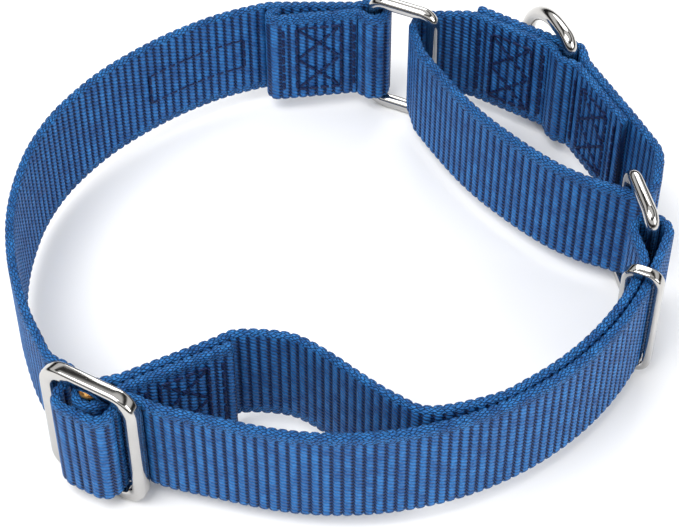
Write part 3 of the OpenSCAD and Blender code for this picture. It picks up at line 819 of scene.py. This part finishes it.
# %% Copies on every sewn face
def sewn_face(name, at, turn, side):
    """The box on the left-hand (1) or right-hand (-1) face of the layer whose middle is at."""
    copy = box_pattern.copy()
    copy.data = box_pattern.data.copy()
    copy.name = copy.data.name = name
    bpy.context.scene.collection.objects.link(copy)
    flip = Matrix.Identity(4) if side > 0 else Matrix.Rotation(math.pi, 4, "Z")
    copy.data.transform(Matrix.Translation(spot(at)) @ Matrix.Rotation(math.radians(turn), 4, "Z")
                        @ flip @ Matrix.Translation((0, STRAP_T / 2 * MM, 0)))
    return copy


half_row = row_start + sewn_len / 2
mid_a, mid_b = in_a + half_row * dir_a, in_b - half_row * dir_b
front_mid_y = hem_y + (sewn_x - hem_x) * math.tan(math.radians(front_turn))
end_mid = end_row + sewn_len / 2
sewn = {
    "ring_end_stitching": ("neck", [((sewn_x, back_y), 0, 1), ((sewn_x, front_mid_y), front_turn, -1)]),
    "slide_end_stitching": ("slide", [(end_point(end_mid, side), end_turn, side) for side in (-1, 1)]),
    "control_stitching_a": ("control_loop", [(mid_a, turn_a, 1),
                                             (mid_a - PLY * left_of(dir_a), turn_a, -1)]),
    "control_stitching_b": ("control_loop", [(mid_b, turn_b, 1),
                                             (mid_b - PLY * left_of(dir_b), turn_b, -1)]),
}
for node, (body_name, faces) in sewn.items():
    piece = joined(node + "_thread", [sewn_face(f"{node}_{i}", *f) for i, f in enumerate(faces)])
    piece.data.materials.append(thread_material)
    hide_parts(node)
    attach(piece, body_name)
    print(piece.name, len(piece.data.polygons), "faces on", body_name)
bpy.data.objects.remove(box_pattern)

# %% [markdown]
# ## Metal
#
# The rings, the slide and the keeper are steel, bent or pressed, polished and
# plated with nickel. A ring is a round wire: a circle is drawn out along the
# straights and spun round the corners. The slide's frame is pressed, so it starts
# as a block whose corners are rounded and whose middle is opened.


# %% A wire drawn along its way
def ahead(turn):
    """The direction at turn degrees from X towards Z."""
    return Vector((math.cos(math.radians(turn)), 0, math.sin(math.radians(turn))))


def wire_ring(name, wire, moves, start):
    """A closed ring of round wire, in its own X-Z plane. It starts at the point start, along X, and a
    move is ("run", length) or ("bend", radius, degrees)."""
    place, turn = Vector((start[0], 0, start[1])) * MM, 0
    deselect()
    bpy.ops.mesh.primitive_circle_add(vertices=24, radius=wire / 2 * MM, location=place,
                                      rotation=(0, math.pi / 2, 0))
    ring = settle(bpy.context.object, name)
    bpy.ops.object.mode_set(mode="EDIT")
    bpy.ops.mesh.select_mode(type="EDGE")
    bpy.ops.mesh.select_all(action="SELECT")
    for kind, size, *degrees in moves:
        if kind == "run":
            step = ahead(turn) * size * MM
            bpy.ops.mesh.extrude_region_move(TRANSFORM_OT_translate={"value": step})
            place = place + step
        else:
            centre = place + ahead(turn + 90) * size * MM
            bpy.ops.mesh.spin(steps=max(4, round(degrees[0] / 7.5)), angle=math.radians(degrees[0]),
                              center=centre, axis=(0, 1, 0))
            turn += degrees[0]
            place = centre - ahead(turn + 90) * size * MM
    bpy.ops.mesh.select_all(action="SELECT")
    bpy.ops.mesh.remove_doubles(threshold=0.02 * MM)
    bpy.ops.mesh.normals_make_consistent(inside=False)
    bpy.ops.object.mode_set(mode="OBJECT")
    bpy.ops.object.shade_smooth_by_angle(angle=math.radians(60))
    print(name, len(ring.data.polygons), "faces", tuple(round(c / MM, 1) for c in ring.dimensions))
    return ring


def stand(piece, at, turn):
    """Stands a piece made round its own zero at a point of the plan, in direction turn."""
    piece.data.transform(Matrix.Translation(spot(at)) @ Matrix.Rotation(math.radians(turn), 4, "Z"))
    return piece


# %% The two rectangular rings
ring_h = METAL_H - RING_WIRE
flat_x, flat_z = RING_LEN - 2 * WIRE_BEND, ring_h - 2 * WIRE_BEND
corner = ("bend", WIRE_BEND, 90)
ring_moves = [("run", flat_x), corner, ("run", flat_z), corner] * 2
ring_a_piece, ring_b_piece = [
    stand(wire_ring(name, RING_WIRE, ring_moves, (WIRE_BEND, -ring_h / 2)), at, turn)
    for name, at, turn in (("ring_a_wire", pin_a, ring_a_turn), ("ring_b_wire", pin_b, ring_b_turn))]

# %% The leash ring
crown_r = (METAL_H - D_WIRE) / 2
rail = D_REACH - crown_r
d_moves = [("run", rail - WIRE_BEND), ("bend", crown_r, 180), ("run", rail - WIRE_BEND), corner,
           ("run", 2 * (crown_r - WIRE_BEND)), corner]
d_piece = stand(wire_ring("leash_ring_wire", D_WIRE, d_moves, (WIRE_BEND, -crown_r)), d_pin, d_turn)


# %% Pressed frames
def pressed_frame(name, length, height, depth, face, corner_r, edge_r):
    """A block with rounded corners, opened through its middle, with softened edges."""
    deselect()
    bpy.ops.mesh.primitive_cube_add(size=1, scale=(length * MM, depth * MM, height * MM))
    block = settle(bpy.context.object, name)
    bpy.ops.object.mode_set(mode="EDIT")
    choose(block, "edges", lambda e: abs(e.verts[0].co.y - e.verts[1].co.y) > depth / 2 * MM)
    bpy.ops.mesh.bevel(offset=corner_r * MM, segments=10, affect="EDGES")
    choose(block, "faces", lambda f: abs(f.normal.y) > 0.9)
    bpy.ops.mesh.inset(thickness=face * MM, use_even_offset=True)
    bpy.ops.mesh.bridge_edge_loops()
    choose(block, "edges", sharp)
    bpy.ops.mesh.bevel(offset=edge_r * MM, segments=4, affect="EDGES")
    bpy.ops.mesh.select_all(action="SELECT")
    bpy.ops.mesh.normals_make_consistent(inside=False)
    bpy.ops.object.mode_set(mode="OBJECT")
    bpy.ops.object.shade_smooth_by_angle(angle=math.radians(40))
    print(name, len(block.data.polygons), "faces", tuple(round(c / MM, 1) for c in block.dimensions))
    return block


SLIDE_CORNER, SLIDE_EDGE = 4.1, 0.7        # outer corners, and rounding of the face's edges
KEEPER_CORNER, KEEPER_EDGE = 2.6, 0.45
slide_len = 2 * (wave_half + STRAP_T / 2 + WINDOW_GAP + FRAME_FACE)
slide_piece = stand(pressed_frame("slide_frame_casting", slide_len, METAL_H, FRAME_T, FRAME_FACE,
                                  SLIDE_CORNER, SLIDE_EDGE), slide_at, slide_turn)
keeper_mid = (RUN_R + inner_r) / 2 * unit(keeper_turn)
keeper_len = STRAP_T + RUN_R - inner_r + 2 * WIRE_GAP + 2 * KEEPER_T
keeper_h = STRAP_W + 2 * EDGE_GAP + 2 * KEEPER_T
keeper_piece = stand(pressed_frame("keeper_band", keeper_len, keeper_h, KEEPER_W, KEEPER_T,
                                   KEEPER_CORNER, KEEPER_EDGE), keeper_mid, keeper_turn)

# %% [markdown]
# Nickel plate is a warm, bright grey. Polishing leaves it almost a mirror, with
# faint waves and hair scratches that break up the reflections a little. The bar of
# the slide is brazed in, and the thin ring at each end of it is coloured as brass
# to paint a warm glint seen there.


# %% Polished nickel and brass braze
def polished(name, colour_a, colour_b, roughness):
    """A polished metal with slow waves in its surface and fine scratches."""
    material, tree, output = new_material(name)
    place = add(tree, "ShaderNodeTexCoord")
    waves = add(tree, "ShaderNodeTexNoise", {"Vector": place.outputs["Object"]},
                {"Scale": 220.0, "Detail": 2.0})
    hair = add(tree, "ShaderNodeMapping", {"Vector": place.outputs["Object"]})
    hair.inputs["Scale"].default_value = (9000, 9000, 500)
    scratch = add(tree, "ShaderNodeTexNoise", {"Vector": hair.outputs[0]}, {"Scale": 1.0, "Detail": 1.0})
    tone = blend_colour(tree, waves.outputs["Fac"], linear(colour_a), linear(colour_b))
    rough = add(tree, "ShaderNodeMapRange", {"Value": scratch.outputs["Fac"]},
                {"To Min": roughness * 0.7, "To Max": roughness * 1.5})
    bump = add(tree, "ShaderNodeBump", {"Height": waves.outputs["Fac"]},
               {"Strength": 0.25, "Distance": 0.1 * MM})
    metal = add(tree, "ShaderNodeBsdfPrincipled", {"Base Color": tone, "Roughness": rough.outputs[0],
                                                   "Normal": bump.outputs[0]}, {"Metallic": 1.0})
    tree.links.new(metal.outputs[0], output.inputs["Surface"])
    return material


# Nickel gives a near-mirror with crisp dark bands; the warm brass colour is a painted glint, a small warm
# dot.
nickel = polished("polished_nickel_plate", "#B4B2AF", "#C6C4C1", 0.10)
brass = polished("painted_glint_brass", "#B08348", "#D0A468", 0.28)
for piece, node, body_name in ((ring_a_piece, "ring_a", "ring_a"), (ring_b_piece, "ring_b", "ring_b"),
                               (d_piece, "d_ring", "leash_ring"), (slide_piece, "slide_frame", "slide"),
                               (keeper_piece, "keeper", "keeper")):
    piece.data.materials.append(nickel)
    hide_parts(node)
    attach(piece, body_name)
    print(piece.name, "rides on", body_name)
# The braze rings take the brass colour as a painted glint.
for node, metal in (("slide_centre_bar", nickel), ("bar_braze_rings", brass)):
    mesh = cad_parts[node].data
    mesh.materials.clear()
    mesh.materials.append(metal)

# %% [markdown]
# ## The label
#
# A small woven label is sewn to the outside of the neck strap. It is blank here,
# with a woven border. Its stitches show through on the inside as a long box.

# %% Label
LABEL_H, LABEL_T = 7.4, 0.5
LABEL_CUTS = 24                      # steps that let it bend with the strap
BORDER, FIELD_DROP = 0.5, 0.08       # woven border, and how far the field lies below it
LABEL_ROUND = 0.12                   # rounding of the label's edges
label_span = neck_curve[12:33]       # the steps of the neck strap's curve that it covers
label_way = beside(label_span, -(STRAP_T + LABEL_T) / 2)
label_len = way_length(label_way) * MM
deselect()
bpy.ops.mesh.primitive_cube_add(size=1, location=(label_len / 2, 0, 0),
                                scale=(label_len, LABEL_T * MM, LABEL_H * MM))
label_piece = settle(bpy.context.object, "woven_label")
bpy.ops.object.mode_set(mode="EDIT")
for i in range(1, LABEL_CUTS):
    bpy.ops.mesh.select_all(action="SELECT")
    bpy.ops.mesh.bisect(plane_co=(label_len * i / LABEL_CUTS, 0, 0), plane_no=(1, 0, 0))
choose(label_piece, "faces", lambda f: f.normal.y < -0.9)
bpy.ops.mesh.inset(thickness=BORDER * MM, depth=-FIELD_DROP * MM, use_even_offset=True)
choose(label_piece, "edges", sharp)
bpy.ops.mesh.bevel(offset=LABEL_ROUND * MM, segments=2, affect="EDGES")
bpy.ops.object.mode_set(mode="OBJECT")
bend_along(label_piece, label_way)
bpy.ops.object.shade_smooth_by_angle(angle=math.radians(40))
print("label", round(label_len / MM, 1), "mm long")

# %% The label's stitches, on the inside of the strap
SEAM_IN, SEAM_BELOW = 0.4, 0.6       # from the label's ends, and from its long sides
SUNK = -0.17                         # the long rows sink into the ribs
stitch_way = beside(label_span, STRAP_T / 2)
seam_end = way_length(stitch_way) - SEAM_IN
seam_z = LABEL_H / 2 - SEAM_BELOW
label_rows = [stitch_row((SEAM_IN, z), (seam_end, z), SUNK) for z in (-seam_z, seam_z)]
label_rows += [stitch_row((x, -seam_z), (x, seam_z)) for x in (SEAM_IN, seam_end)]
label_thread = joined("label_thread", label_rows)
bend_along(label_thread, stitch_way)
bpy.ops.object.shade_smooth_by_angle(angle=math.radians(60))
label_thread.data.materials.append(thread_material)
print("label stitches", len(label_thread.data.polygons), "faces")

# %% Woven label tape
# Woven label: a flat, dark cloth with fine upright threads, set off from the ribs beside it.
label_material, tree, output = new_material("woven_polyester_label")
place = add(tree, "ShaderNodeTexCoord")
weave = add(tree, "ShaderNodeTexBrick", {"Vector": place.outputs["Object"]},
            {"Scale": 2500.0, "Mortar Size": 0.06})
weave.inputs["Color1"].default_value = linear("#14336B")
weave.inputs["Color2"].default_value = linear("#1B3F80")
# Painted shade: the darker mortar colour is thin lines of shade between the woven threads.
weave.inputs["Mortar"].default_value = linear("#0B1D40")
bump = add(tree, "ShaderNodeBump", {"Height": weave.outputs["Fac"]},
           {"Strength": 0.4, "Distance": 0.03 * MM})
tape = add(tree, "ShaderNodeBsdfPrincipled",
           {"Base Color": weave.outputs["Color"], "Normal": bump.outputs[0]},
           {"Roughness": 0.5, "Sheen Weight": 0.3})
tree.links.new(tape.outputs[0], output.inputs["Surface"])
label_piece.data.materials.append(label_material)
for piece, node, slot in ((label_piece, "label", "label_tape"),
                          (label_thread, "label_stitching", "thread")):
    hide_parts(node)
    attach(piece, "neck")
